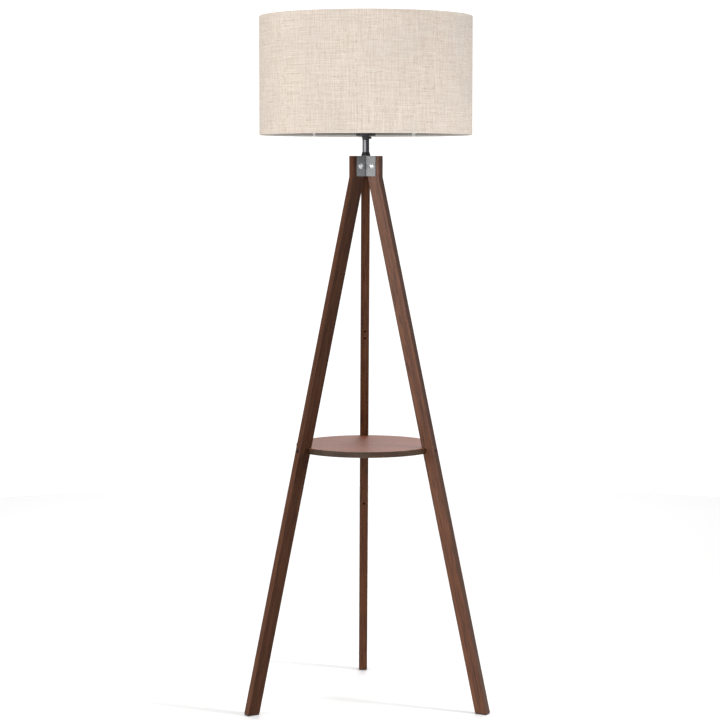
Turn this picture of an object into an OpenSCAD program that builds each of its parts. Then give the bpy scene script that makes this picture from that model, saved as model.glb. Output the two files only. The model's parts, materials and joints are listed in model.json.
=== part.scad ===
// Tripod floor lamp: three splayed timber legs bolted to a steel hub, a round shelf,
// a short stem with a lampholder, and a linen drum shade.
// Millimetres, +Z up. The origin is on the floor under the lamp's upright axis.
// The rear leg points along +Y, and the front is towards -Y.

/* [Legs] */
// Width of a leg, across the lamp's radius
leg_w = 18.3; // [16:0.1:22]
// Depth of a leg along the radius, measured level
leg_d = 27.7; // [24:0.1:32]
// Radius of the leg's centre line where it meets the floor
foot_r = 280.2; // [240:0.2:320]
// Height of the flat tops of the legs and of the hub
hub_top = 1168; // [1100:1:1240]
// Thickness of the felt pad under each foot
pad_t = 2; // [1:0.5:4]

/* [Hub] */
// Height of the hub's side plates
hub_h = 43; // [38:0.5:50]
// Sheet thickness of the hub
hub_t = 1.5; // [1.2:0.1:2]
// Radius out to which the hub's plates reach
hub_r = 28.7; // [27:0.1:30]
// Head diameter of the leg bolts
bolt_head_d = 11.5; // [10:0.1:12]

/* [Shelf] */
// Radius of the shelf
shelf_r = 148.5; // [146:0.5:156]
// Height of the shelf's top face
shelf_top = 555.5; // [540:0.5:570]
// Thickness of the shelf
shelf_t = 12.5; // [11:0.5:18]

/* [Stem] */
// Diameter of the stem
stem_d = 14.5; // [13.5:0.1:15]
// Height of the stem from the hub to the lampholder's neck
stem_h = 34; // [30:0.5:40]
// Base diameter of the cone at the stem's foot
collar_d = 19.5; // [18.5:0.1:20.5]

/* [Lampholder] */
// Outer diameter of the lampholder's cup
holder_d = 42; // [41.5:0.1:43]
// Height of the cone between the stem and the cup
neck_h = 7.6; // [7:0.1:9]

/* [Shade] */
// Outer diameter of the drum shade
shade_d = 450; // [400:1:480]
// Height of the drum shade
shade_h = 248; // [220:1:280]
// Height of the shade's lower edge above the lower face of the lampholder's cup
shade_lift = 2.4; // [0:0.1:6]
// Diameter of the shade's wire
wire_d = 3; // [2.5:0.1:3.4]

/* [Hidden] */
$fn = 96;

// Directions of the legs, seen from above
az_left = 210;
az_right = 330;
az_rear = 90;
leg_azimuths = [az_left, az_right, az_rear];

// Leg lines: upright inside the hub, then splayed in a straight line to the floor
hub_bottom = hub_top - hub_h;
bend_z = hub_bottom - 1;
leg_hub_r = 22.5;
splay = (foot_r - leg_hub_r) / bend_z;
splay_deg = atan(splay);

// Leg bolts: a sleeve nut from one side and a bolt from the other
bolt_r = 18.6;
bolt_z = hub_bottom + hub_h / 2;
bolt_head_t = 2.4;
bolt_dome_r = 10;
bolt_hex_af = 4;
bolt_hex_depth = 1.4;
sleeve_d = 8;
thread_d = 5.8;
grip = leg_w + 2 * hub_t;
sleeve_l = 12;
sleeve_floor = 4;

// Shelf screws: level, through the leg into the shelf's edge
screw_z = shelf_top - shelf_t / 2 + 0.75;
screw_head_r = leg_r(screw_z) + leg_d / 2 - 1.6;
screw_head_d = 9;
screw_play = 0.4;
screw_cone = 2.4;
screw_point = 3;
screw_shank_d = 5;
screw_thread_d = 4;
screw_l = 46;

// Blind pilot holes for cord clips on the inner face of the rear leg
clip_hole_z = [789, 774, 398];
clip_hole_d = 5;
clip_hole_depth = 10;

// Notches in the shelf, each square to the board and just clear of the leaning leg
notch_play = 0.3;
notch_r = leg_r(shelf_top) - leg_d / 2 - 0.6;

// Hub top plate, with the nipple through it
plate_t = 2;
nipple_d = 10;
nipple_bore = 8;
nipple_bottom = hub_top - 20;
nut_af = 14;
nut_t = 5;
washer_d = 16;
washer_t = 1;

// Stem and lampholder levels
collar_h = 8;
neck_z = hub_top + stem_h;
cup_z = neck_z + neck_h;
neck_top_d = 18;
boss_d = 16;
boss_h = 6.4;
cup_wall = 2;
cup_floor = 2.4;
cup_round = 2;
cup_h = 18.4;
body_z = cup_z + cup_h;
body_h = 17.5;
spigot_h = 6;
seat_z = body_z + body_h;
seat_t = 2.5;
seat_r = 23;
body_thread_h = 25;
body_top = seat_z + body_thread_h;
body_thread_r = 19.25;
thread_pitch = 2.5;
thread_depth = 0.45;
body_bore_r = 15.2;
insulator_r = 17;
insulator_z = body_z - 1;
insulator_h = 13;
insulator_top = insulator_z + insulator_h;
shell_r = 14.2;
shell_wall = 0.6;
shell_h = 24;
contact_r = 4.5;
contact_h = 3;
terminal_x = 9;
terminal_w = 6;
terminal_screw_z = insulator_z - 4.5;
terminal_screw_d = 2.5;
neck_screw_az = -25;
neck_screw_z = neck_z + 3.8;
neck_screw_d = 3;

// Clearance between pieces that move on each other
gap = 0.3;

// Shade frame
fitter_z = seat_z + gap;
fitter_t = 2;
fitter_bore_r = body_thread_r + 0.4;
fitter_r = 25.5;
arm_d = 3.4;
arm_inset = 1.5;
shade_r = shade_d / 2;
shade_z = cup_z + shade_lift;
cloth_t = 0.8;
lining_t = 0.6;
hem_h = 5;
hem_inner_r = shade_r - 2 * cloth_t - lining_t;
wire_r = hem_inner_r - wire_d / 2 - 0.1;
wire_lift = 3.5;
clip_w = 7;
clip_h = 6.6;
clip_wall = 1;
clip_azimuths = [for (i = [0:5]) i * 60];

// Retaining ring
ring_z = fitter_z + fitter_t + gap;
ring_h = 9;
ring_bore_r = body_thread_r + 0.1;
ring_r = 23.5;
ring_flange_r = 25;
ring_flange_t = 2;
ring_grips = 18;
ring_grip_r = 1.6;

// Bulb
tip_z = insulator_top + contact_h + gap;
tip_h = 0.6;
bulb_insulator_h = 2.4;
bulb_cap_z = tip_z + tip_h + bulb_insulator_h;
bulb_cap_r = 13.25;
bulb_cap_h = 21.7;
bulb_neck_z = bulb_cap_z + bulb_cap_h;
bulb_housing_h = 33;
bulb_joint_z = bulb_neck_z + bulb_housing_h;
bulb_joint_r = 26;
bulb_r = 30;
bulb_wall = 1.5;
board_r = 24;
board_t = 1.6;
board_drop = 2.4;
globe_wall = 1.2;
globe_z = bulb_joint_z + sqrt(bulb_r * bulb_r - bulb_joint_r * bulb_joint_r);

// Radius of a leg's centre line at height z
function leg_r(z) = z > bend_z ? leg_hub_r : leg_hub_r + (bend_z - z) * splay;

// Points of an arc in the plane, from angle a to angle b
function arc(cx, cy, r, a, b, steps = 6) =
    [for (i = [0:steps]) let (t = a + (b - a) * i / steps) [cx + r * cos(t), cy + r * sin(t)]];

// A solid of revolution from a closed outline of [radius, height] points
module turned(points, z = 0) {
    translate([0, 0, z]) rotate_extrude() polygon(points);
}

// A plain ring between two radii
module ring(r_in, r_out, h, z = 0) {
    turned([[r_in, 0], [r_out, 0], [r_out, h], [r_in, h]], z);
}

// ---- Stand ----

// A leg before it is drilled, from its side outline in [radius, height]
module leg_blank() {
    rotate([90, 0, 0]) linear_extrude(leg_w, center = true) polygon([
        [leg_hub_r - leg_d / 2, hub_top],
        [leg_hub_r + leg_d / 2, hub_top],
        [leg_hub_r + leg_d / 2, bend_z],
        [leg_r(pad_t) + leg_d / 2, pad_t],
        [leg_r(pad_t) - leg_d / 2, pad_t],
        [leg_hub_r - leg_d / 2, bend_z]
    ]);
}

// Level hole along the radius with a countersink, cut from outside
module shelf_screw_hole() {
    translate([screw_head_r, 0, screw_z]) rotate([0, -90, 0]) {
        translate([0, 0, -20]) cylinder(h = 20, d = screw_head_d + screw_play);
        cylinder(h = screw_cone, d1 = screw_head_d + screw_play, d2 = screw_shank_d + screw_play);
        cylinder(h = 40, d = screw_shank_d + screw_play);
    }
}

// Blind hole square to the inner face of a leg
module clip_hole(z) {
    translate([leg_r(z) - leg_d / 2, 0, z]) rotate([0, 90 - splay_deg, 0])
        translate([0, 0, -1]) cylinder(h = clip_hole_depth + 1, d = clip_hole_d);
}

module leg_timber() {
    difference() {
        leg_blank();
        // Rebate that sets the hub's top plate flush with the leg
        translate([0, -leg_w, hub_top - plate_t]) cube([hub_r, 2 * leg_w, 2 * plate_t]);
        // Cross hole for the sleeve nut
        translate([bolt_r, 0, bolt_z]) rotate([90, 0, 0])
            cylinder(h = leg_w + 2, d = sleeve_d, center = true);
        shelf_screw_hole();
    }
}

module leg(az) {
    rotate([0, 0, az]) leg_timber();
}

module leg_left() {
    color("saddlebrown") leg(az_left);
}

module leg_right() {
    color("saddlebrown") leg(az_right);
}

module leg_rear() {
    color("saddlebrown") rotate([0, 0, az_rear]) difference() {
        leg_timber();
        for (z = clip_hole_z) clip_hole(z);
    }
}

module foot_pad(az) {
    color("dimgray") rotate([0, 0, az]) translate([leg_r(pad_t), 0, pad_t / 2])
        cube([leg_d - 2, leg_w - 2, pad_t], center = true);
}

module foot_pad_left() {
    foot_pad(az_left);
}

module foot_pad_right() {
    foot_pad(az_right);
}

module foot_pad_rear() {
    foot_pad(az_rear);
}

// Round board, notched for the three legs and drilled for their screws
module shelf() {
    notch_w = leg_w + notch_play;
    color("sienna") difference() {
        translate([0, 0, shelf_top - shelf_t]) cylinder(h = shelf_t, r = shelf_r, $fn = 180);
        for (az = leg_azimuths) rotate([0, 0, az]) {
            translate([notch_r, -notch_w / 2, shelf_top - 2 * shelf_t])
                cube([shelf_r, notch_w, 3 * shelf_t]);
            translate([screw_head_r - screw_l, 0, screw_z]) rotate([0, 90, 0])
                cylinder(h = screw_l, d = screw_thread_d);
        }
    }
}

module shelf_screws() {
    color("black") for (az = leg_azimuths) rotate([0, 0, az])
        translate([screw_head_r, 0, screw_z]) rotate([0, -90, 0]) difference() {
            union() {
                cylinder(h = screw_cone, d1 = screw_head_d, d2 = screw_shank_d);
                cylinder(h = leg_d - 4, d = screw_shank_d);
                cylinder(h = screw_l - screw_point, d = screw_thread_d);
                translate([0, 0, screw_l - screw_point])
                    cylinder(h = screw_point, d1 = screw_thread_d, d2 = 1);
            }
            translate([0, 0, -1]) cylinder(h = 3, d = 4, $fn = 6);
        }
}

// Three arms of a given width, from the axis out to the hub's radius
module hub_star(width, reach) {
    for (az = leg_azimuths) rotate(az) translate([0, -width / 2]) square([reach, width]);
}

// Three bent side plates welded under one top plate
module hub_bracket() {
    color("dimgray") difference() {
        union() {
            translate([0, 0, hub_bottom]) linear_extrude(hub_h - plate_t) difference() {
                hub_star(grip, hub_r);
                hub_star(leg_w, 2 * hub_r);
            }
            translate([0, 0, hub_top - plate_t]) linear_extrude(plate_t)
                hub_star(grip, hub_r);
        }
        translate([0, 0, hub_top - 2 * plate_t]) cylinder(h = 4 * plate_t, d = nipple_d);
        for (az = leg_azimuths) rotate([0, 0, az]) translate([bolt_r, 0, bolt_z]) {
            rotate([90, 0, 0]) cylinder(h = grip, d = sleeve_d);
            rotate([-90, 0, 0]) cylinder(h = grip, d = thread_d);
        }
    }
}

// Domed head with a hex socket, standing on the plane z = 0
module domed_head() {
    difference() {
        intersection() {
            cylinder(h = bolt_head_t, d = bolt_head_d);
            translate([0, 0, bolt_head_t - bolt_dome_r]) sphere(r = bolt_dome_r);
        }
        translate([0, 0, bolt_head_t - bolt_hex_depth])
            cylinder(h = 3, d = bolt_hex_af / cos(30), $fn = 6);
    }
}

// Bolts enter from the counter-clockwise side of each leg
module hub_bolts() {
    color("silver") for (az = leg_azimuths) rotate([0, 0, az])
        translate([bolt_r, grip / 2, bolt_z]) rotate([90, 0, 0]) {
            cylinder(h = grip - sleeve_floor, d = thread_d);
            rotate([180, 0, 0]) domed_head();
        }
}

// Sleeve nuts enter from the clockwise side, and the bolt screws into them
module hub_sleeve_nuts() {
    color("silver") for (az = leg_azimuths) rotate([0, 0, az])
        translate([bolt_r, -grip / 2, bolt_z]) rotate([-90, 0, 0]) {
            difference() {
                cylinder(h = sleeve_l, d = sleeve_d);
                translate([0, 0, sleeve_floor]) cylinder(h = sleeve_l, d = thread_d);
            }
            rotate([180, 0, 0]) domed_head();
        }
}

// ---- Stem ----

module stem_nipple() {
    color("silver")
        ring(nipple_bore / 2, nipple_d / 2, cup_z + 4.4 - nipple_bottom, nipple_bottom);
}

module nipple_washer() {
    color("silver")
        ring(nipple_d / 2, washer_d / 2, washer_t, hub_top - plate_t - washer_t);
}

module nipple_nut() {
    color("silver") translate([0, 0, hub_top - plate_t - washer_t - nut_t]) difference() {
        cylinder(h = nut_t, d = nut_af / cos(30), $fn = 6);
        translate([0, 0, -1]) cylinder(h = nut_t + 2, d = nipple_d);
    }
}

// Plastic bush that keeps the cord off the nipple's edge
module cord_bush() {
    color("black") turned([
        [3, -3], [5, -3], [6.2, -2], [6.2, 0], [nipple_bore / 2, 0],
        [nipple_bore / 2, 8], [3, 8]
    ], nipple_bottom);
}

module stem_tube() {
    color("dimgray") ring(nipple_d / 2 + 0.2, stem_d / 2, stem_h, hub_top);
}

module stem_collar() {
    color("black") turned([
        [stem_d / 2, 0], [collar_d / 2 - 0.4, 0], [collar_d / 2, 0.4], [collar_d / 2, 1.6],
        [stem_d / 2 + 1.2, 5.4], [stem_d / 2 + 0.6, collar_h], [stem_d / 2, collar_h]
    ], hub_top);
}

// ---- Lampholder ----

module holder_neck() {
    color("black") difference() {
        turned([
            [nipple_d / 2, 0], [stem_d / 2 + 0.25, 0], [stem_d / 2 + 0.4, 3],
            [neck_top_d / 2, neck_h - 0.8], [neck_top_d / 2, neck_h], [boss_d / 2, neck_h],
            [boss_d / 2, neck_h + boss_h], [nipple_d / 2, neck_h + boss_h]
        ], neck_z);
        rotate([0, 0, neck_screw_az]) translate([0, 0, neck_screw_z]) rotate([0, 90, 0])
            cylinder(h = 20, d = neck_screw_d);
    }
}

module neck_screw() {
    color("black") rotate([0, 0, neck_screw_az])
        translate([nipple_d / 2 + 0.2, 0, neck_screw_z]) rotate([0, 90, 0]) difference() {
            union() {
                cylinder(h = 5, d = neck_screw_d);
                translate([0, 0, 4.6]) cylinder(h = 2.6, d = 4.6);
            }
            translate([-0.4, -4, 6.4]) cube([0.8, 8, 2]);
        }
}

// Flat-bottomed cup that hides the wiring
module holder_cap() {
    color("black") turned(concat(
        [[boss_d / 2, 0]],
        arc(holder_d / 2 - cup_round, cup_round, cup_round, -90, 0),
        [[holder_d / 2, cup_h], [holder_d / 2 - cup_wall, cup_h],
         [holder_d / 2 - cup_wall, cup_floor], [boss_d / 2, cup_floor]]
    ), cup_z);
}

// Crests and roots of the outer thread, drawn as separate grooves
function thread_points(r, z0, z1, depth) =
    [for (i = [0:floor((z1 - z0) / thread_pitch) - 1]) let (z = z0 + i * thread_pitch)
        each [[r, z], [r, z + thread_pitch * 0.4], [r - depth, z + thread_pitch * 0.7]]];

module holder_body() {
    spigot_r = holder_d / 2 - cup_wall;
    step_z = insulator_top;
    color("black") turned(concat(
        [[insulator_r, body_z - spigot_h], [spigot_r, body_z - spigot_h], [spigot_r, body_z],
         [holder_d / 2, body_z], [holder_d / 2, seat_z - seat_t], [seat_r, seat_z - seat_t],
         [seat_r, seat_z]],
        thread_points(body_thread_r, seat_z, body_top - 1.5, thread_depth),
        [[body_thread_r, body_top - 1], [body_thread_r - 1, body_top],
         [body_bore_r, body_top], [body_bore_r, step_z], [insulator_r, step_z]]
    ));
}

module socket_insulator() {
    color("white") difference() {
        translate([0, 0, insulator_z]) cylinder(h = insulator_h, r = insulator_r);
        // Pockets that hold the tops of the two terminals
        for (s = [-1, 1]) translate([s * terminal_x, 0, insulator_z])
            cube(terminal_w, center = true);
    }
}

module socket_shell() {
    color("gold") turned([
        [6, 0], [shell_r, 0], [shell_r, shell_h], [shell_r - shell_wall, shell_h],
        [shell_r - shell_wall, shell_wall], [6, shell_wall]
    ], insulator_top);
}

module socket_contact() {
    color("gold") turned([
        [0, 0], [contact_r, 0], [contact_r, 1], [2.5, contact_h], [0, contact_h]
    ], insulator_top);
}

// Brass blocks that hang from the insulator and take the two wires
module socket_terminals() {
    color("gold") for (s = [-1, 1]) difference() {
        translate([s * terminal_x, 0, insulator_z - 2])
            cube([terminal_w, terminal_w, 10], center = true);
        translate([s * terminal_x, 0, terminal_screw_z]) rotate([90, 0, 0])
            cylinder(h = 8, d = 2.6, center = true);
        translate([s * (terminal_x + 1), 0, terminal_screw_z]) rotate([0, s * 90, 0])
            cylinder(h = 8, d = terminal_screw_d);
    }
}

module terminal_screws() {
    color("silver") for (s = [-1, 1])
        translate([s * (terminal_x + 1.5), 0, terminal_screw_z]) rotate([0, s * 90, 0]) {
            cylinder(h = 2, d = terminal_screw_d);
            translate([0, 0, 1.5]) cylinder(h = 1.6, d = 4.4);
        }
}

// ---- Shade ----

module retaining_ring() {
    color("black") difference() {
        turned([
            [ring_bore_r, 0], [ring_flange_r, 0], [ring_flange_r, ring_flange_t],
            [ring_r, ring_flange_t], [ring_r, ring_h - 0.8], [ring_r - 0.8, ring_h],
            [ring_bore_r, ring_h]
        ], ring_z);
        for (i = [0:ring_grips - 1]) rotate([0, 0, i * 360 / ring_grips])
            translate([ring_r + 0.9, 0, ring_z + ring_flange_t]) cylinder(h = ring_h, r = ring_grip_r);
    }
}

// Linen wrapped round the lining and turned in at both edges
module shade_cover() {
    r1 = shade_r;
    r2 = shade_r - cloth_t;
    r3 = r2 - lining_t;
    r4 = r3 - cloth_t;
    color("linen") turned([
        [r4, 0], [r1, 0], [r1, shade_h], [r4, shade_h], [r4, shade_h - hem_h],
        [r3, shade_h - hem_h], [r3, shade_h - cloth_t], [r2, shade_h - cloth_t],
        [r2, cloth_t], [r3, cloth_t], [r3, hem_h], [r4, hem_h]
    ], shade_z);
}

module shade_lining() {
    r2 = shade_r - cloth_t;
    color("white")
        ring(r2 - lining_t, r2, shade_h - 2 * cloth_t, shade_z + cloth_t);
}

module wire_hoop(z) {
    translate([0, 0, z]) rotate_extrude() translate([wire_r, 0]) circle(d = wire_d, $fn = 32);
}

module shade_top_ring() {
    color("white") wire_hoop(shade_z + shade_h - wire_lift);
}

module shade_bottom_ring() {
    color("white") wire_hoop(shade_z + wire_lift);
}

// Fitter ring with three sloping arms that end on the bottom ring
module shade_spider() {
    arm_r = fitter_r - arm_inset;
    arm_top = fitter_z + fitter_t / 2;
    drop = arm_top - (shade_z + wire_lift);
    run = wire_r - arm_r;
    color("white") difference() {
        union() {
            ring(fitter_bore_r, fitter_r, fitter_t, fitter_z);
            for (az = leg_azimuths) rotate([0, 0, az]) translate([arm_r, 0, arm_top])
                rotate([0, 90 + atan(drop / run), 0])
                    cylinder(h = norm([drop, run]), d = arm_d, $fn = 32);
        }
        wire_hoop(shade_z + wire_lift);
        translate([0, 0, fitter_z - 4]) cylinder(h = 12, r = fitter_bore_r);
        // Flat under and over the fitter ring, where the arms are pressed and welded
        translate([0, 0, fitter_z - 4]) cylinder(h = 4, r = ring_flange_r + 1);
        translate([0, 0, fitter_z + fitter_t]) cylinder(h = 4, r = ring_flange_r + 1);
    }
}

// Moulded clips that hug the wire against the hem, standing up from height z
module wire_clips(z) {
    for (az = clip_azimuths) rotate([0, 0, az]) translate([wire_r, 0, z])
        rotate([90, 0, 0]) linear_extrude(clip_w, center = true) difference() {
            translate([-wire_d / 2 - clip_wall, -wire_d / 2 - clip_wall])
                square([wire_d + clip_wall, clip_h]);
            circle(d = wire_d + 0.3, $fn = 32);
            // Mouth through which the clip snaps on
            square([wire_d, wire_d * 0.45]);
        }
}

module shade_clips_bottom() {
    color("white") wire_clips(shade_z + wire_lift);
}

module shade_clips_top() {
    color("white") mirror([0, 0, 1]) wire_clips(-(shade_z + shade_h - wire_lift));
}

// ---- Bulb ----

module bulb_cap() {
    color("silver") turned(concat(
        [[bulb_cap_r - 0.7, 0], [bulb_cap_r - 0.7, 1]],
        [for (i = [0:4]) let (z = 1 + i * 3.6)
            each [[bulb_cap_r, z + 0.9], [bulb_cap_r, z + 1.8], [bulb_cap_r - 0.7, z + 3.2]]],
        [[bulb_cap_r - 0.7, bulb_cap_h], [bulb_cap_r - 1.2, bulb_cap_h],
         [bulb_cap_r - 1.2, 0]]
    ), bulb_cap_z);
}

// Glass plug between the cap and the centre tip
module bulb_insulator() {
    plug_r = bulb_cap_r - 1.2;
    color("black") turned([
        [0, 0], [5, 0], [plug_r, bulb_insulator_h], [plug_r, bulb_insulator_h + 2],
        [0, bulb_insulator_h + 2]
    ], tip_z + tip_h);
}

module bulb_tip() {
    color("silver") translate([0, 0, tip_z]) cylinder(h = tip_h, d1 = 8, d2 = 9.4);
}

// Radius of the housing's outside, t from 0 at the cap to 1 at the globe
function housing_r(t) =
    bulb_cap_r - 0.3 + (bulb_joint_r - bulb_cap_r + 0.3) * (0.45 * t + 0.55 * sin(90 * t));

// Plastic shell with a ledge inside its mouth for the board
module bulb_housing() {
    steps = 8;
    outside = [for (i = [0:steps]) [housing_r(i / steps), bulb_housing_h * i / steps]];
    inside = [for (i = [steps - 2:-1:0])
        [housing_r(i / steps) - bulb_wall, bulb_housing_h * i / steps]];
    ledge_z = bulb_housing_h - board_drop;
    color("white") turned(concat(
        outside,
        [[board_r, bulb_housing_h], [board_r, ledge_z], [board_r - 2.5, ledge_z]],
        inside
    ), bulb_neck_z);
}

module bulb_led_board() {
    color("silver") translate([0, 0, bulb_joint_z - board_drop])
        cylinder(h = board_t, r = board_r);
}

module bulb_globe() {
    color("white") difference() {
        translate([0, 0, globe_z]) sphere(r = bulb_r);
        translate([0, 0, globe_z]) sphere(r = bulb_r - globe_wall);
        translate([0, 0, bulb_joint_z - 100]) cylinder(h = 100, r = 2 * bulb_r);
    }
}

leg_left();
leg_right();
leg_rear();
foot_pad_left();
foot_pad_right();
foot_pad_rear();
shelf();
shelf_screws();
hub_bracket();
hub_bolts();
hub_sleeve_nuts();
stem_nipple();
nipple_washer();
nipple_nut();
cord_bush();
stem_collar();
stem_tube();
holder_neck();
neck_screw();
holder_cap();
holder_body();
socket_insulator();
socket_shell();
socket_contact();
socket_terminals();
terminal_screws();
retaining_ring();
shade_cover();
shade_lining();
shade_top_ring();
shade_bottom_ring();
shade_spider();
shade_clips_bottom();
shade_clips_top();
bulb_cap();
bulb_insulator();
bulb_tip();
bulb_housing();
bulb_led_board();
bulb_globe();
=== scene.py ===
import json
from math import atan2, cos, degrees, hypot, pi, radians, sin

import bmesh
import bpy
from mathutils import Matrix, Vector, noise


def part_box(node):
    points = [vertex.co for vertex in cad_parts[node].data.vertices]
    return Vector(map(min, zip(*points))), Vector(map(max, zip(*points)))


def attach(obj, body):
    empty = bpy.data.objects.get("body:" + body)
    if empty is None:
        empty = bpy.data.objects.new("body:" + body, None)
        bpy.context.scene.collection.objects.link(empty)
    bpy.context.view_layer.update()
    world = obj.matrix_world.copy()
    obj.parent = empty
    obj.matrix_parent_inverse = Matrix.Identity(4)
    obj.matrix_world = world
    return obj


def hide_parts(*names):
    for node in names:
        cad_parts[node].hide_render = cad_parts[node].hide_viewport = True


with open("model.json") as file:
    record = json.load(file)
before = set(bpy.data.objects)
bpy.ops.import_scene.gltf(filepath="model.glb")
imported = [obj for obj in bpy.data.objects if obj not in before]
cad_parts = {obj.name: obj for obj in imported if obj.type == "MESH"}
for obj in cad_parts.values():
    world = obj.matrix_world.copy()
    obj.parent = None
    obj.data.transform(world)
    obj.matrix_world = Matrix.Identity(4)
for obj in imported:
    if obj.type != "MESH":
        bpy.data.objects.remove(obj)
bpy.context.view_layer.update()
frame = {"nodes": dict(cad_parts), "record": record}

# A tripod floor lamp: timber legs, round shelf, steel hub, stem, lampholder, bulb and linen shade.
# Lengths in the dictionaries are in metres unless a note says otherwise.

mm = 0.001
slotOf = {part["node"]: part["material_slot"] for part in frame["record"]["subparts"]}
bodyOf = {node: body for body, nodes in frame["record"]["behaviour"]["bodies"].items() for node in nodes}
legAzimuth = {"left": 210, "right": 330, "rear": 90}  # degrees, seen from above
finishes = {}  # slot name: material
print("frame loaded:", len(frame["nodes"]), "nodes")

cameraSettings = {
    "lens": 108.35,      # mm
    "sensor": 36,        # mm across
    "distance": 4.6074,  # from the lamp's upright axis
    "height": 1.1288,
    "sideways": -0.0124,
    "tiltDown": 4.892,   # degrees
    "heading": -1.173,   # degrees
    "farLimit": 50,
}


def placeCamera(settings):
    camera = bpy.data.objects.new("camera", bpy.data.cameras.new("camera"))
    bpy.context.scene.collection.objects.link(camera)
    camera.data.lens = settings["lens"]
    camera.data.sensor_width = settings["sensor"]
    turn = Matrix.Rotation(radians(settings["heading"]), 4, "Z")
    camera.location = turn @ Vector((settings["sideways"], -settings["distance"], settings["height"]))
    camera.rotation_euler = (radians(90 - settings["tiltDown"]), 0, radians(settings["heading"]))
    camera.data.clip_end = settings["farLimit"]
    bpy.context.scene.camera = camera


placeCamera(cameraSettings)

studio = {
    "floorRadius": 3.2,
    "floorSides": 128,
    "floorGrey": 0.79,
    "floorRoughness": 0.9,
    "worldGrey": 0.96,
    "worldStrength": 0.50,
    "backgroundStrength": 1.15,  # what the camera sees past the floor's edge
    "withoutGlints": ["fillRight"],  # lamps that light the pieces but aren't mirrored in them
    "lamps": [  # name, place, aim, size, watts, spread in degrees, colour
        ("keyLeft", (-3.5, -2.1, 1.8), (0, 0, 0.9), 2.0, 78, 180, (1.0, 0.985, 0.96)),
        ("fillFront", (-1.2, -5.4, 2.0), (0, 0, 0.9), 2.5, 99, 180, (1.0, 1.0, 1.0)),
        ("overhead", (0.3, 0.4, 4.2), (0, 0, 0.9), 3.0, 30, 180, (1.0, 1.0, 1.0)),
        ("sideRight", (2.9, -1.3, 1.9), (-0.2, 0.1, -0.3), 0.5, 6.0, 52, (1.0, 1.0, 1.0)),
        ("fillRight", (4.0, -2.0, 1.9), (0, 0, 1.2), 1.8, 18, 90, (1.0, 1.0, 1.0)),
        ("fillBack", (0.6, 4.4, 4.0), (0, 0, 0.9), 1.6, 50, 180, (1.0, 1.0, 1.0)),
        ("floorBack", (0.0, 3.0, 4.2), (0, 3.0, 0), 3.0, 90, 180, (1.0, 1.0, 1.0)),
    ],
}


def buildStudio(settings):
    bm = bmesh.new()
    bmesh.ops.create_circle(
        bm, cap_ends=True, segments=settings["floorSides"], radius=settings["floorRadius"])
    mesh = bpy.data.meshes.new("floor")
    bm.to_mesh(mesh)
    bm.free()
    floor = bpy.data.objects.new("floor", mesh)
    bpy.context.scene.collection.objects.link(floor)
    paper = bpy.data.materials.new("floorPaper")
    paper.use_nodes = True
    shader = paper.node_tree.nodes["Principled BSDF"]
    shader.inputs["Base Color"].default_value = (settings["floorGrey"],) * 3 + (1,)
    shader.inputs["Roughness"].default_value = settings["floorRoughness"]
    mesh.materials.append(paper)

    world = bpy.data.worlds.new("studio")
    bpy.context.scene.world = world
    world.use_nodes = True
    tree = world.node_tree
    glow = tree.nodes["Background"]
    glow.inputs["Color"].default_value = (settings["worldGrey"],) * 3 + (1,)
    glow.inputs["Strength"].default_value = settings["worldStrength"]
    # the background is seen as plain white, but only the dimmer glow lights the lamp
    backdrop = tree.nodes.new("ShaderNodeBackground")
    backdrop.inputs["Color"].default_value = (1, 1, 1, 1)
    backdrop.inputs["Strength"].default_value = settings["backgroundStrength"]
    either = tree.nodes.new("ShaderNodeMixShader")
    tree.links.new(tree.nodes.new("ShaderNodeLightPath").outputs["Is Camera Ray"], either.inputs[0])
    tree.links.new(glow.outputs[0], either.inputs[1])
    tree.links.new(backdrop.outputs[0], either.inputs[2])
    tree.links.new(either.outputs[0], tree.nodes["World Output"].inputs["Surface"])
    for name, place, aim, size, watts, spread, colour in settings["lamps"]:
        lamp = bpy.data.lights.new(name, "AREA")
        lamp.shape, lamp.size, lamp.energy, lamp.color = "DISK", size, watts, colour
        lamp.spread = radians(spread)
        holder = bpy.data.objects.new(name, lamp)
        bpy.context.scene.collection.objects.link(holder)
        holder.visible_glossy = name not in settings["withoutGlints"]
        holder.location = place
        holder.rotation_euler = (Vector(aim) - Vector(place)).to_track_quat("-Z", "Y").to_euler()
    bpy.context.scene.view_settings.view_transform = "Standard"


buildStudio(studio)
print("studio ready")


# Finishes

def addNode(tree, kind, inputs=None, **settings):
    node = tree.nodes.new(kind)
    for key, value in settings.items():
        setattr(node, key, value)
    for key, value in (inputs or {}).items():
        if isinstance(value, bpy.types.NodeSocket):
            tree.links.new(value, node.inputs[key])
        else:
            node.inputs[key].default_value = value
    return node


def startFinish(name, **values):
    # values are the shader's own constants, with _ for a space in the socket's name
    material = bpy.data.materials.new(name)
    material.use_nodes = True
    shader = material.node_tree.nodes["Principled BSDF"]
    for key, value in values.items():
        shader.inputs[key.replace("_", " ")].default_value = value
    return material, material.node_tree, shader


def objectPoint(tree, *steps):
    # Object coordinates through one Mapping for each (rotation in degrees, scale)
    point = tree.nodes.new("ShaderNodeTexCoord").outputs["Object"]
    for turn, scale in steps:
        point = addNode(tree, "ShaderNodeMapping", {
            "Vector": point, "Rotation": [radians(a) for a in turn], "Scale": scale}).outputs[0]
    return point


def speckle(tree, point, scale, detail=3.0, rough=0.55, distortion=0.0):
    return addNode(tree, "ShaderNodeTexNoise", {
        "Vector": point, "Scale": scale, "Detail": detail, "Roughness": rough,
        "Distortion": distortion}).outputs["Fac"]


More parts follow.
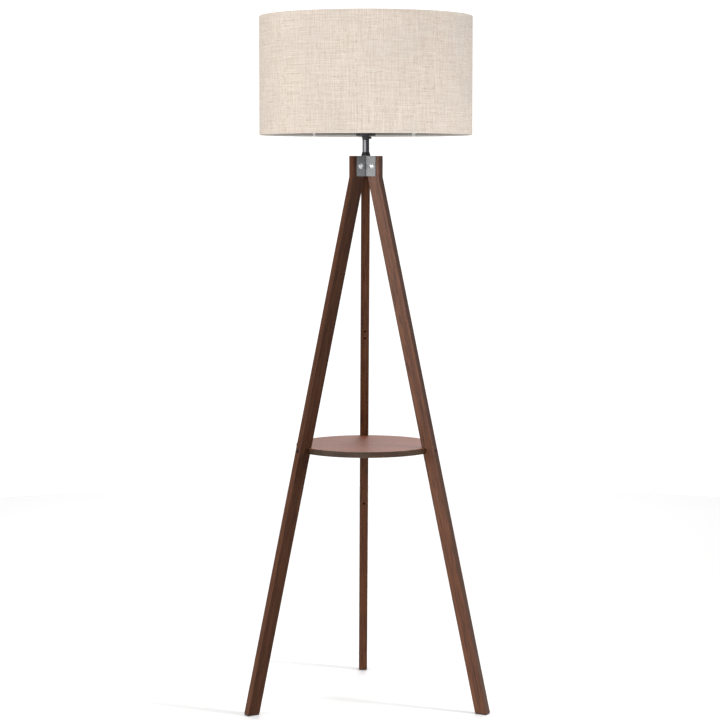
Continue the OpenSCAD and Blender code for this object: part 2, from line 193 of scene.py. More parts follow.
def ramp(tree, factor, stops):
    # stops are (position, colour), and a colour may be one grey number
    node = addNode(tree, "ShaderNodeValToRGB", {"Fac": factor})
    band = node.color_ramp
    while len(band.elements) < len(stops):
        band.elements.new(0.5)
    for element, (position, colour) in zip(band.elements, stops):
        element.position = position
        element.color = (*colour, 1) if isinstance(colour, tuple) else (colour, colour, colour, 1)
    return node.outputs["Color"]


def mixed(tree, factor, first, second, mode="MIX"):
    node = addNode(tree, "ShaderNodeMix", data_type="RGBA", blend_type=mode)
    for place, value in ((0, factor), (6, first), (7, second)):
        if isinstance(value, bpy.types.NodeSocket):
            tree.links.new(value, node.inputs[place])
        else:
            node.inputs[place].default_value = (*value, 1) if isinstance(value, tuple) else value
    return node.outputs[2]


def between(tree, factor, low, high):
    return addNode(tree, "ShaderNodeMapRange", {
        "Value": factor, "To Min": low, "To Max": high}).outputs[0]


def dent(tree, shader, height, strength, depth):
    bump = addNode(tree, "ShaderNodeBump", {"Height": height, "Strength": strength, "Distance": depth})
    tree.links.new(bump.outputs[0], shader.inputs["Normal"])


timber = {
    "dark": (0.027, 0.0090, 0.0042),
    "middle": (0.074, 0.0260, 0.0110),
    "light": (0.135, 0.0540, 0.0270),
    "warm": (0.115, 0.0380, 0.0140),
    # painted light, partly real tone: how light each leg is, and how much of that its outer and side faces
    # keep; faces turned from the light are darkened as painted shade
    "tone": {"left": 1.12, "right": 1.46, "rear": 0.86},
    "outer": {"left": 1.0, "right": 0.42, "rear": 1.0},
    "side": {"left": 0.46, "right": 1.0, "rear": 0.9},
    "shine": {"left": 0.12, "right": 0.30, "rear": 0.12},
    "rough": (0.36, 0.52),  # the shader's roughness on the smoothest and roughest fibres
    "wander": 14.0,     # slow changes of tone, per metre
    "bands": 62.0,      # growth bands across the grain
    "fibres": 620.0,
    "pores": 1150.0,
    "along": 0.022,     # how far the pattern is drawn out along the grain
    "poreShade": 0.45,  # how light a pore is beside the dark stain
    "relief": 0.00018,
    "lean": 12.91,      # degrees that each leg leans out from upright
}

board = {
    "dark": (0.098, 0.0300, 0.0155),
    "middle": (0.200, 0.0645, 0.0350),
    "light": (0.305, 0.1080, 0.0610),
    "warm": (0.255, 0.0775, 0.0400),
    "band": (0.17, 0.27, 0.22),  # painted shade: what the strip round the board's edge keeps of the colour
    "shine": 0.34,
}


def facingOut(tree, turns):
    # 1 on the faces that look along X once the timber is turned upright, 0 on the others; this picks the
    # faces for the painted light
    normal = tree.nodes.new("ShaderNodeNewGeometry").outputs["Normal"]
    for turn in turns:
        normal = addNode(tree, "ShaderNodeMapping", {
            "Vector": normal, "Rotation": [radians(a) for a in turn]}, vector_type="VECTOR").outputs[0]
    out = addNode(tree, "ShaderNodeSeparateXYZ", {0: normal}).outputs["X"]
    return addNode(tree, "ShaderNodeMath", {0: out}, operation="ABSOLUTE").outputs[0]


def stainedTimberWithPaintedLight(name, turns, settings, tone, shine, outer, side):
    # turns bring the grain's direction onto Z and the broad or outer face onto X
    dark, middle, light, warm = [
        tuple(tone * c for c in settings[key]) for key in ("dark", "middle", "light", "warm")]
    material, tree, shader = startFinish(name, Specular_IOR_Level=shine)
    point = objectPoint(tree, *[(turn, (1, 1, 1)) for turn in turns])
    grain = addNode(tree, "ShaderNodeMapping", {
        "Vector": point, "Scale": (1, 1, settings["along"])}).outputs[0]
    wander = speckle(tree, grain, settings["wander"], 2.0)
    bands = speckle(tree, grain, settings["bands"], 4.0, 0.62, 0.9)
    fibres = speckle(tree, grain, settings["fibres"], 3.0, 0.7)
    pores = ramp(tree, speckle(tree, grain, settings["pores"], 1.0, 0.4), [(0.30, 0.0), (0.42, 1.0)])
    streaks = mixed(tree, 0.38, bands, fibres)
    colour = ramp(tree, streaks, [(0.28, dark), (0.50, middle), (0.72, light)])
    stainAndPaintedLight = mixed(tree, between(tree, wander, -0.10, 0.35), colour, warm)
    # painted light: outer and side faces get their own share of the colour, lit and shaded copies of one
    # stain
    paintedFaceShade = ramp(tree, facingOut(tree, turns), [(0.60, side), (0.85, outer)])
    stainAndPaintedLight = mixed(tree, 1.0, stainAndPaintedLight, paintedFaceShade, "MULTIPLY")
    pored = mixed(tree, pores, tuple(settings["poreShade"] * c for c in dark), stainAndPaintedLight)
    tree.links.new(pored, shader.inputs["Base Color"])
    tree.links.new(between(tree, fibres, *settings["rough"]), shader.inputs["Roughness"])
    height = mixed(tree, 0.6, fibres, pores)
    dent(tree, shader, height, 0.35, settings["relief"])
    return material


def makeTimbers(settings):
    # bring each leg to +X and stand it upright, so that its grain runs along Z
    for side, azimuth in legAzimuth.items():
        finishes["walnut_" + side] = stainedTimberWithPaintedLight(
            "walnut_" + side, [(0, 0, -azimuth), (0, settings["lean"], 0)], settings,
            *[settings[key][side] for key in ("tone", "shine", "outer", "side")])
    # painted shade: the board's top and bottom keep their colour, its edge strip is darkened
    finishes["walnut_board"] = stainedTimberWithPaintedLight(
        "walnut_board", [(0, 90, 0)], {**settings, **board}, 1.0, board["shine"], 1.0, board["band"])


makeTimbers(timber)

cloth = {
    "cream": (0.660, 0.588, 0.520),
    "pale": (0.750, 0.690, 0.626),
    "slub": (0.435, 0.340, 0.262),
    "grey": (0.510, 0.480, 0.445),
    "fleck": (0.380, 0.270, 0.190),
    "threads": 560.0,   # thick and thin threads per metre
    "slide": 0.35,      # how far a thread may slide along its length
    "yarn": 820.0,
    "slubs": 430.0,
    "flecks": 400.0,
    "dashes": 380.0,
    "cast": 9.0,        # wide patches of greyer cloth
    "threadPitch": 0.00085,
    "relief": 0.00035,
}


def threadWave(tree, point, direction, pitch):
    # one ridge for each thread
    return addNode(tree, "ShaderNodeTexWave", {
        "Vector": point, "Scale": 2 * pi / (20 * pitch), "Distortion": 1.6, "Detail": 2.0,
        "Detail Scale": 0.6}, bands_direction=direction).outputs["Fac"]


def stretched(tree, point, scale):
    return addNode(tree, "ShaderNodeMapping", {"Vector": point, "Scale": scale}).outputs[0]


def shuffled(tree, point, across, along, threads):
    # each thread slides by its own amount along its length, so that slubs don't line up
    slide = speckle(tree, stretched(tree, point, across), threads, 1.0, 0.5)
    return addNode(tree, "ShaderNodeVectorMath", {
        0: slide, 1: along, 2: point}, operation="MULTIPLY_ADD").outputs[0]


def linenFinish(settings):
    material, tree, shader = startFinish(
        "linen", Roughness=0.9, Sheen_Weight=0.05, Sheen_Roughness=0.5, Specular_IOR_Level=0.25)
    point = addNode(tree, "ShaderNodeUVMap", uv_map="weave").outputs[0]
    # the two sets of threads, each with its own drawn-out variation
    upright = shuffled(tree, point, (1, 0, 0), (0, settings["slide"], 0), settings["threads"])
    level = shuffled(tree, point, (0, 1, 0), (settings["slide"], 0, 0), settings["threads"])
    warp = speckle(tree, stretched(tree, upright, (1, 0.02, 1)), settings["yarn"], 2.0, 0.6)
    weft = speckle(tree, stretched(tree, level, (0.02, 1, 1)), settings["yarn"], 2.0, 0.6)
    warpSlub = speckle(tree, stretched(tree, upright, (1, 0.12, 1)), settings["slubs"], 3.0, 0.7)
    weftSlub = speckle(tree, stretched(tree, level, (0.15, 1, 1)), settings["slubs"], 3.0, 0.7)
    flecks = speckle(tree, stretched(tree, upright, (1, 0.35, 1)), settings["flecks"], 1.0, 0.5)
    dashes = speckle(tree, stretched(tree, level, (0.22, 1, 1)), settings["dashes"], 1.0, 0.5)
    cast = speckle(tree, point, settings["cast"], 3.0, 0.6)
    threads = mixed(tree, 0.5, warp, weft)
    colour = ramp(tree, threads, [
        (0.34, settings["slub"]), (0.48, settings["cream"]), (0.66, settings["pale"])])
    colour = mixed(tree, ramp(tree, warpSlub, [(0.52, 0.0), (0.70, 0.60)]), colour, settings["slub"])
    colour = mixed(tree, ramp(tree, weftSlub, [(0.56, 0.0), (0.74, 0.50)]), colour, settings["slub"])
    colour = mixed(tree, ramp(tree, flecks, [(0.58, 0.0), (0.66, 0.85)]), colour, settings["fleck"])
    colour = mixed(tree, ramp(tree, dashes, [(0.60, 0.0), (0.68, 0.85)]), colour, settings["fleck"])
    colour = mixed(tree, ramp(tree, cast, [(0.42, 0.0), (0.72, 0.35)]), colour, settings["grey"])
    tree.links.new(colour, shader.inputs["Base Color"])
    ridges = mixed(tree, 0.5, threadWave(tree, point, "X", settings["threadPitch"]),
                   threadWave(tree, point, "Y", settings["threadPitch"]))
    height = mixed(tree, 0.45, ridges, mixed(tree, 0.5, warpSlub, weftSlub))
    dent(tree, shader, height, 0.55, settings["relief"])
    return material


# painted shade: the lining's pale backing is given a dark grey that stands in for the shade inside the drum
backingWithPaintedShade = {"dark": (0.27, 0.262, 0.25), "light": (0.35, 0.342, 0.33), "threads": 500.0, "relief": 0.0001}


def liningFinish(settings):
    material, tree, shader = startFinish("lining", Roughness=0.7)
    point = addNode(tree, "ShaderNodeUVMap", uv_map="weave").outputs[0]
    faint = mixed(tree, 0.5, speckle(tree, stretched(tree, point, (1, 0.03, 1)), settings["threads"], 2.0),
                  speckle(tree, stretched(tree, point, (0.03, 1, 1)), settings["threads"], 2.0))
    tree.links.new(ramp(tree, faint, [(0.35, settings["dark"]), (0.65, settings["light"])]),
                   shader.inputs["Base Color"])
    dent(tree, shader, faint, 0.2, settings["relief"])
    return material


def speckledFinish(name, low, high, scale, roughness, bump=0.1, depth=0.00005, stretch=(1, 1, 1), **values):
    # a base colour that wanders between low and high, and a roughness that wanders with it
    material, tree, shader = startFinish(name, **values)
    point = objectPoint(tree, ((0, 0, 0), stretch))
    grain = speckle(tree, point, scale, 3.0, 0.6)
    tree.links.new(ramp(tree, grain, [(0.36, low), (0.64, high)]), shader.inputs["Base Color"])
    cloud = speckle(tree, point, scale * 0.06, 2.0)
    tree.links.new(between(tree, cloud, roughness - 0.06, roughness + 0.06), shader.inputs["Roughness"])
    dent(tree, shader, grain, bump, depth)
    return material


def makeFinishes():
    finishes["linen"] = linenFinish(cloth)
    finishes["lining"] = liningFinish(backingWithPaintedShade)
    finishes["felt"] = speckledFinish(
        "felt", (0.020, 0.018, 0.016), (0.055, 0.050, 0.045), 1800, 0.92, 0.8, 0.0003,
        Sheen_Weight=0.3)
    finishes["black_steel"] = speckledFinish(
        "black_steel", (0.026, 0.026, 0.027), (0.052, 0.052, 0.055), 1400, 0.32, 0.15, Metallic=0.5)
    finishes["hub_steel"] = speckledFinish(
        "hub_steel", (0.110, 0.111, 0.115), (0.205, 0.207, 0.213), 1500, 0.45, 0.3, 0.00006, Metallic=0.85)
    finishes["black_nickel"] = speckledFinish(
        "black_nickel", (0.075, 0.075, 0.080), (0.115, 0.115, 0.122), 2600, 0.13, 0.06, 0.00003,
        (1, 1, 0.04), Metallic=1.0)
    finishes["bright_zinc"] = speckledFinish(
        "bright_zinc", (0.66, 0.67, 0.69), (0.86, 0.87, 0.88), 700, 0.36, 0.08, Metallic=1.0)
    finishes["black_plastic"] = speckledFinish(
        "black_plastic", (0.014, 0.014, 0.015), (0.024, 0.024, 0.026), 1100, 0.30, 0.12,
        Coat_Weight=0.2, Coat_Roughness=0.2)
    finishes["porcelain"] = speckledFinish(
        "porcelain", (0.74, 0.73, 0.68), (0.80, 0.79, 0.75), 260, 0.16, 0.1, 0.0001, Coat_Weight=0.6)
    finishes["brass"] = speckledFinish(
        "brass", (0.60, 0.38, 0.14), (0.80, 0.56, 0.25), 420, 0.30, 0.1, Metallic=1.0)
    # painted shade: the white wire is given a mid grey that stands in for the shade inside the drum
    finishes["white_wire"] = speckledFinish(
        "white_wire", (0.46, 0.46, 0.45), (0.54, 0.54, 0.53), 1500, 0.38, 0.25, 0.00006)
    finishes["white_plastic"] = speckledFinish(
        "white_plastic", (0.80, 0.80, 0.785), (0.86, 0.86, 0.85), 700, 0.36, 0.1,
        Coat_Weight=0.1)
    finishes["aluminium"] = speckledFinish(
        "aluminium", (0.66, 0.66, 0.67), (0.80, 0.80, 0.81), 1600, 0.34, 0.1, 0.00003,
        (1, 0.03, 1), Metallic=1.0)
    finishes["opal"] = speckledFinish(
        "opal", (0.84, 0.83, 0.79), (0.88, 0.87, 0.84), 120, 0.24, 0.03,
        Subsurface_Weight=0.3, Subsurface_Scale=0.01, Subsurface_Radius=(1.0, 1.0, 1.0))


makeFinishes()
print("finishes ready:", len(finishes))


# Shared ways of making a piece

def addPiece(name, bm, nodes, finish=None, smoothBelow=34, even=True):
    # a finished mesh rides with the body of the CAD nodes that it stands for
    mesh = bpy.data.meshes.new(name)
    bm.to_mesh(mesh)
    bm.free()
    mesh.shade_smooth()
    mesh.set_sharp_from_angle(angle=radians(smoothBelow))
    mesh.materials.append(finish or finishes[slotOf[nodes[0]]])
    piece = bpy.data.objects.new(name, mesh)
    bpy.context.scene.collection.objects.link(piece)
    if even:
        shading = piece.modifiers.new("evenShading", "WEIGHTED_NORMAL")
        shading.keep_sharp = True
    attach(piece, bodyOf[nodes[0]])
    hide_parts(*nodes)
    return piece


meshLimits = {"weld": 0.000002, "noLength": 0.000001, "flat": 0.4}  # metres, metres, degrees


def cadCopy(node):
    # a welded copy of a CAD node, with its flat triangles joined into whole faces
    bm = bmesh.new()
    bm.from_mesh(frame["nodes"][node].data)
    bmesh.ops.remove_doubles(bm, verts=bm.verts[:], dist=meshLimits["weld"])
    bmesh.ops.dissolve_limit(
        bm, angle_limit=radians(meshLimits["flat"]), verts=bm.verts[:], edges=bm.edges[:])
    return bm


def softenEdges(bm, width, segments=3, sharperThan=35, where=None):
    edges = [e for e in bm.edges if e.is_manifold and e.calc_face_angle() > radians(sharperThan)
             and (where is None or where(e))]
    bmesh.ops.bevel(bm, geom=edges, offset=width, segments=segments, profile=0.5, affect="EDGES",
                    material=-1, clamp_overlap=True)


def turned(outline, soften=0.0, segments=2, sharperThan=35, steps=96):
    # a closed outline of (radius, height), spun round the upright axis
    bm = bmesh.new()
    ring = [bm.verts.new((radius, 0, height)) for radius, height in outline]
    sides = [bm.edges.new(pair) for pair in zip(ring, ring[1:] + ring[:1])]
    bmesh.ops.spin(bm, geom=ring + sides, cent=(0, 0, 0), axis=(0, 0, 1), angle=2 * pi, steps=steps,
                   use_merge=True)
    bmesh.ops.remove_doubles(bm, verts=bm.verts[:], dist=meshLimits["weld"])
    # an outline that touches the axis leaves faces with no area there
    bmesh.ops.dissolve_degenerate(bm, dist=meshLimits["noLength"], edges=bm.edges[:])
    loose = [e for e in bm.edges if not e.link_faces]
    bmesh.ops.delete(bm, geom=loose, context="EDGES")
    bmesh.ops.recalc_face_normals(bm, faces=bm.faces[:])
    if soften:
        softenEdges(bm, soften, segments, sharperThan)
    return bm


def arcPoints(centre, radius, start, end, count):
    # points on an arc in the (radius, height) plane, angles in degrees
    return [(centre[0] + radius * cos(radians(start + (end - start) * i / count)),
             centre[1] + radius * sin(radians(start + (end - start) * i / count)))
            for i in range(count + 1)]


# Legs and feet

legs = {
    "roundEdge": 0.0016,
    "segments": 4,
    "sharp": 50,        # degrees: only corners sharper than this are rounded
    "longEdge": 0.030,  # the long edges are all longer than this
    "footBand": 0.001,  # the foot's outline lies within this of the lowest point
    "padEdge": 0.0006,
}


def buildLegs(settings):
    for side in legAzimuth:
        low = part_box("leg_" + side)[0]
        bm = cadCopy("leg_" + side)

        def wanted(edge):
            # the four long edges, and the outline of the sawn foot
            atFoot = all(v.co.z < low.z + settings["footBand"] for v in edge.verts)
            return edge.calc_length() > settings["longEdge"] or atFoot

        softenEdges(bm, settings["roundEdge"], settings["segments"], settings["sharp"], wanted)
        addPiece("leg" + side.title(), bm, ["leg_" + side], finishes["walnut_" + side])
        pad = cadCopy("foot_pad_" + side)
        softenEdges(pad, settings["padEdge"], 2)
        addPiece("footPad" + side.title(), pad, ["foot_pad_" + side])


buildLegs(legs)
print("legs and feet ready")

shelf = {"roundEdge": 0.0014, "segments": 4, "sharp": 50, "level": 0.0001}


def buildShelf(settings):
    low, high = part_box("shelf")
    bm = cadCopy("shelf")

    def onFace(edge):
        # the outline of the top and bottom faces, notches included
        return any(all(abs(v.co.z - level) < settings["level"] for v in edge.verts)
                   for level in (low.z, high.z))

    softenEdges(bm, settings["roundEdge"], settings["segments"], settings["sharp"], onFace)
    addPiece("shelfBoard", bm, ["shelf"], finishes["walnut_board"])


buildShelf(shelf)
print("shelf ready")

# Small hard pieces keep their CAD shape, with their edges broken

brokenEdges = {  # node: (piece, edge width in mm)
    "hub_bracket": ("hubBracket", 0.35),
    "hub_bolts": ("hubBolts", 0.18),
    "hub_sleeve_nuts": ("hubSleeveNuts", 0.18),
    "shelf_screws": ("shelfScrews", 0.15),
    "stem_nipple": ("stemNipple", 0.2),
    "nipple_washer": ("nippleWasher", 0.15),
    "nipple_nut": ("nippleNut", 0.4),
    "cord_bush": ("cordBush", 0.2),
    "neck_screw": ("neckScrew", 0.15),
    "socket_insulator": ("socketInsulator", 0.5),
    "socket_contact": ("socketContact", 0.2),
    "socket_terminals": ("socketTerminals", 0.25),
    "terminal_screws": ("terminalScrews", 0.15),
    "shade_clips_bottom": ("shadeClipsBottom", 0.3),
    "shade_clips_top": ("shadeClipsTop", 0.3),
    "bulb_tip": ("bulbTip", 0.15),
    "bulb_led_board": ("bulbLedBoard", 0.15),
}


def buildSmallPieces(settings):
    for node, (name, width) in settings.items():
        bm = cadCopy(node)
        softenEdges(bm, width * mm, 3)
        addPiece(name, bm, [node])


buildSmallPieces(brokenEdges)
print("hub, bolts, screws and clips ready")

# Stem and lampholder

stem = {"bore": 0.0052, "edge": 0.0003}


def buildStem(settings):
    low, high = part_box("stem_tube")
    outline = [(settings["bore"], low.z), (high.x, low.z), (high.x, high.z), (settings["bore"], high.z)]
    addPiece("stemTube", turned(outline, settings["edge"]), ["stem_tube"])


buildStem(stem)

collar = {
    "rim": 0.0016,      # height of the straight rim
    "topWall": 0.0006,
    "shoulder": 0.0054,
    "shoulderWall": 0.0012,
    "edge": 0.0004,
}


def buildCollar(settings):
    low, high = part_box("stem_collar")
    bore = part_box("stem_tube")[1].x
    outline = [(bore, low.z), (high.x, low.z), (high.x, low.z + settings["rim"]),
               (bore + settings["shoulderWall"], low.z + settings["shoulder"]),
               (bore + settings["topWall"], high.z), (bore, high.z)]
    addPiece("stemCollar", turned(outline, settings["edge"], 3, sharperThan=20), ["stem_collar"])


buildCollar(collar)

neck = {
    "bore": 0.005,
    "footStep": 0.00025,  # how far the foot stands out past the stem
    "waistStep": 0.0004,
    "waistHeight": 0.003,
    "bossRadius": 0.008,
    "bossHeight": 0.0064,
    "lipHeight": 0.0008,
    "edge": 0.0003,
}


def buildNeck(settings):
    low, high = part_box("holder_neck")
    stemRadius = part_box("stem_tube")[1].x
    lipTop = high.z - settings["bossHeight"]
    outline = [(settings["bore"], low.z), (stemRadius + settings["footStep"], low.z),
               (stemRadius + settings["waistStep"], low.z + settings["waistHeight"]),
               (high.x, lipTop - settings["lipHeight"]), (high.x, lipTop),
               (settings["bossRadius"], lipTop), (settings["bossRadius"], high.z),
               (settings["bore"], high.z)]
    addPiece("holderNeck", turned(outline, settings["edge"], 3, sharperThan=14), ["holder_neck"])


buildNeck(neck)

cup = {
    "wall": 0.002, "floor": 0.0024, "corner": 0.002, "bore": 0.008,
    "grooveDrop": 0.0012,   # from the rim down to the groove
    "grooveWidth": 0.001,
    "grooveSlope": 0.0003,
    "grooveDepth": 0.00035,
    "edge": 0.00025,
    "steps": 128,
}


def buildCup(settings):
    low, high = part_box("holder_cap")
    corner, wall = settings["corner"], settings["wall"]
    outline = [(settings["bore"], low.z), *arcPoints((high.x - corner, low.z + corner), corner, -90, 0, 8)]
    # fine groove round the rim where the cup meets the holder's body
    grooveTop = high.z - settings["grooveDrop"]
    grooveFoot = grooveTop - settings["grooveWidth"]
    root = high.x - settings["grooveDepth"]
    outline += [(high.x, grooveFoot), (root, grooveFoot + settings["grooveSlope"]),
                (root, grooveTop - settings["grooveSlope"]), (high.x, grooveTop), (high.x, high.z),
                (high.x - wall, high.z), (high.x - wall, low.z + settings["floor"]),
                (settings["bore"], low.z + settings["floor"])]
    bm = turned(outline, settings["edge"], sharperThan=40, steps=settings["steps"])
    addPiece("holderCup", bm, ["holder_cap"])


buildCup(cup)

body = {
    "bore": 0.0152, "insulatorRadius": 0.017, "spigotRadius": 0.019, "spigotHeight": 0.006,
    "bodyHeight": 0.0175, "seatThickness": 0.0025, "threadRadius": 0.01925, "pitch": 0.0025,
    "threadDepth": 0.00045, "insulatorHeight": 0.012,
    "threadStart": 0.0006,  # above the seat
    "threadEnd": 0.0012,    # below the top
    "crest": [(0, 1), (0.22, 0.15), (0.5, 0), (0.78, 0.15)],  # share of the pitch, share of the depth
    "leadIn": 0.0008,
    "leadInWall": 0.001,
    "edge": 0.0002,
}


def buildBody(settings):
    low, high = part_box("holder_body")
    base = low.z + settings["spigotHeight"]
    seat = base + settings["bodyHeight"]
    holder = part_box("holder_cap")[1].x
    step = base + settings["insulatorHeight"]
    outline = [(settings["insulatorRadius"], low.z), (settings["spigotRadius"], low.z),
               (settings["spigotRadius"], base), (holder, base),
               (holder, seat - settings["seatThickness"]), (high.x, seat - settings["seatThickness"]),
               (high.x, seat)]
    height = seat + settings["threadStart"]
    while height + settings["pitch"] < high.z - settings["threadEnd"]:
        # one rounded crest and root
        for share, drop in settings["crest"]:
            outline.append((settings["threadRadius"] - drop * settings["threadDepth"],
                            height + share * settings["pitch"]))
        height += settings["pitch"]
    outline += [(settings["threadRadius"] - settings["threadDepth"], height),
                (settings["threadRadius"] - settings["threadDepth"], high.z - settings["leadIn"]),
                (settings["threadRadius"] - settings["leadInWall"], high.z), (settings["bore"], high.z),
                (settings["bore"], step), (settings["insulatorRadius"], step)]
    addPiece("holderBody", turned(outline, settings["edge"], sharperThan=50), ["holder_body"])


buildBody(body)

lockRing = {
    "bore": 0.01935, "sleeveRadius": 0.0235, "flange": 0.002, "topSlope": 0.0008, "edge": 0.0003,
    "grips": 18,
    "gripDepth": 0.0007,
    "gripRoundness": 0.6,
    "stepsPerGrip": 10,
    "gripStart": 0.0004,  # above the flange
    "skin": 0.0025,       # points further than this from the bore belong to the outer face
}


def buildLockRing(settings):
    low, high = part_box("retaining_ring")
    sleeve = settings["sleeveRadius"]
    outline = [(settings["bore"], low.z), (high.x, low.z), (high.x, low.z + settings["flange"]),
               (sleeve, low.z + settings["flange"]), (sleeve, high.z - settings["topSlope"]),
               (sleeve - settings["topSlope"], high.z), (settings["bore"], high.z)]
    bm = turned(outline, settings["edge"], steps=settings["grips"] * settings["stepsPerGrip"])
    gripLow = low.z + settings["flange"] + settings["gripStart"]
    for v in bm.verts:
        # scallops between the finger grips, on the sleeve only
        radius = hypot(v.co.x, v.co.y)
        if v.co.z > gripLow and radius > settings["bore"] + settings["skin"]:
            angle = atan2(v.co.y, v.co.x) * settings["grips"]
            cut = settings["gripDepth"] * max(0.0, cos(angle)) ** settings["gripRoundness"]
            v.co.xy *= (radius - cut) / radius
    addPiece("retainingRing", bm, ["retaining_ring"])


buildLockRing(lockRing)


def rolledThread(radius, depth, start, turns, pitch, points=6):
    # the wavy outline of a rolled sheet-metal thread, from the bottom up
    return [(radius - depth * (0.5 + 0.5 * cos(2 * pi * i / points)), start + pitch * i / points)
            for i in range(turns * points + 1)]


socket = {
    "wall": 0.0006, "pitch": 0.0036, "depth": 0.00035, "turns": 5, "hole": 0.006,
    "skirt": 0.0034,        # height of the plain stretch below the thread
    "threadStart": 0.004,
}


def buildSocketShell(settings):
    low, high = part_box("socket_shell")
    wall = settings["wall"]
    wave = rolledThread(high.x, settings["depth"], low.z + settings["threadStart"],
                        settings["turns"], settings["pitch"])
    outside = [(settings["hole"], low.z), (high.x, low.z), (high.x, low.z + settings["skirt"]),
               *wave, (high.x, high.z)]
    inside = [(r - wall, z) for r, z in reversed(outside[3:-1])]
    outline = outside + [(high.x - wall, high.z), *inside,
                         (high.x - wall, low.z + wall), (settings["hole"], low.z + wall)]
    addPiece("socketShell", turned(outline), ["socket_shell"], smoothBelow=50)


buildSocketShell(socket)
print("stem and lampholder ready")

# Bulb

bulb = {
    "capWall": 0.0012, "threadDepth": 0.0007, "pitch": 0.0036, "turns": 5, "threadStart": 0.0012,
    "plugTip": 0.005,       # radius of the plug's lowest face
    "plugShoulder": 0.0085,
    "plugRise": 0.001,      # height of the shoulder above the tip
    "plugSide": 0.0024,     # height where the plug's straight side begins
    "shellWall": 0.0015, "shellPoints": 20,
    "shellInset": 0.0003,   # the housing's foot sits this far inside the cap's edge
    "flare": 0.45,          # share of the housing's widening that is even, the rest is rounded
    "ledge": 0.0024, "ledgeWidth": 0.0025, "boardRadius": 0.024,
    "globeWall": 0.0012, "globePoints": 36,
    "edge": 0.0003, "plugSteps": 64, "steps": 128,
}


def buildBulb(settings):
    capLow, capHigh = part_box("bulb_cap")
    inner = capHigh.x - settings["capWall"]
    outline = [(capHigh.x - settings["threadDepth"], capLow.z),
               *rolledThread(capHigh.x, settings["threadDepth"], capLow.z + settings["threadStart"],
                             settings["turns"], settings["pitch"]),
               (capHigh.x - settings["threadDepth"], capHigh.z), (inner, capHigh.z), (inner, capLow.z)]
    addPiece("bulbCap", turned(outline), ["bulb_cap"], smoothBelow=50)

    plugLow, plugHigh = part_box("bulb_insulator")
    outline = [(0, plugLow.z), (settings["plugTip"], plugLow.z),
               (settings["plugShoulder"], plugLow.z + settings["plugRise"]),
               (plugHigh.x, plugLow.z + settings["plugSide"]), (plugHigh.x, plugHigh.z), (0, plugHigh.z)]
    bm = turned(outline, settings["edge"], steps=settings["plugSteps"])
    addPiece("bulbGlassPlug", bm, ["bulb_insulator"])

    shellLow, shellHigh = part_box("bulb_housing")
    height, start = shellHigh.z - shellLow.z, capHigh.x - settings["shellInset"]
    grow, even, count = shellHigh.x - start, settings["flare"], settings["shellPoints"]
    outside = [(start + grow * (even * t + (1 - even) * sin(pi / 2 * t)), shellLow.z + height * t)
               for t in [i / count for i in range(count + 1)]]
    ledge, board = shellHigh.z - settings["ledge"], settings["boardRadius"]
    opening = board - settings["ledgeWidth"]
    inside = [(r - settings["shellWall"], z) for r, z in reversed(outside)
              if z < ledge and r - settings["shellWall"] < opening]
    outline = outside + [(board, shellHigh.z), (board, ledge), (opening, ledge), *inside]
    bm = turned(outline, settings["edge"], sharperThan=50, steps=settings["steps"])
    addPiece("bulbHousing", bm, ["bulb_housing"])

    globeLow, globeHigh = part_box("bulb_globe")
    radius = globeHigh.x
    centre = (0, globeHigh.z - radius)
    lowest = -degrees(atan2(centre[1] - globeLow.z, shellHigh.x))
    outer = arcPoints(centre, radius, lowest, 90, settings["globePoints"])
    share = 1 - settings["globeWall"] / radius
    inner = [(r * share, centre[1] + (z - centre[1]) * share) for r, z in reversed(outer)]
    outline = [(max(r, 0.0), z) for r, z in outer + inner]
    addPiece("bulbGlobe", turned(outline, steps=settings["steps"]), ["bulb_globe"])


buildBulb(bulb)
print("bulb ready")

# Shade

frameWire = {
    "radius": 0.0015, "steps": 240, "sides": 14,
    "weldLength": 0.006,
    "weldSwell": 0.22,  # how much thicker the wire is at its weld
}
spider = {
    "bore": 0.01965, "fitterDepth": 0.002, "fitterEdge": 0.0004,
    "fitterMargin": 0.0005,  # how far the fitter stands out past the retaining ring
    "armRadius": 0.0017, "armStart": 0.0235, "sides": 16, "lengths": 60,
    "armDrop": 0.001,        # from the fitter's top to the middle of the arm
    "armShort": 0.0006,      # the arm ends this far inside the hoop's middle
    "pressedLength": 0.004,  # where the arm is pressed flat against the fitter
    "pressedWidening": 0.5,
    "weldRadius": 0.0027,
    "weldShape": (1, 1.25, 0.85, 1),
    "weldSides": 16,
    "weldRows": 10,
}


def hoop(settings, ringRadius, level):
    bm = bmesh.new()
    section = bmesh.ops.create_circle(
        bm, segments=settings["sides"], radius=settings["radius"],
        matrix=Matrix.Translation((ringRadius, 0, level)) @ Matrix.Rotation(pi / 2, 4, "X"))["verts"]
    edges = list({e for v in section for e in v.link_edges})
    bmesh.ops.spin(bm, geom=section + edges, cent=(0, 0, 0), axis=(0, 0, 1), angle=2 * pi,
                   steps=settings["steps"], use_merge=True)
    bmesh.ops.remove_doubles(bm, verts=bm.verts[:], dist=meshLimits["weld"])
    for v in bm.verts:
        # the butt weld that closes the hoop, at the back
        away = abs(atan2(v.co.x, v.co.y)) * ringRadius
        if away < settings["weldLength"]:
            middle = Vector((v.co.x, v.co.y, 0)).normalized() * ringRadius + Vector((0, 0, level))
            swell = 1 + settings["weldSwell"] * (0.5 + 0.5 * cos(pi * away / settings["weldLength"]))
            v.co = middle + (v.co - middle) * swell
    bmesh.ops.recalc_face_normals(bm, faces=bm.faces[:])
    return bm


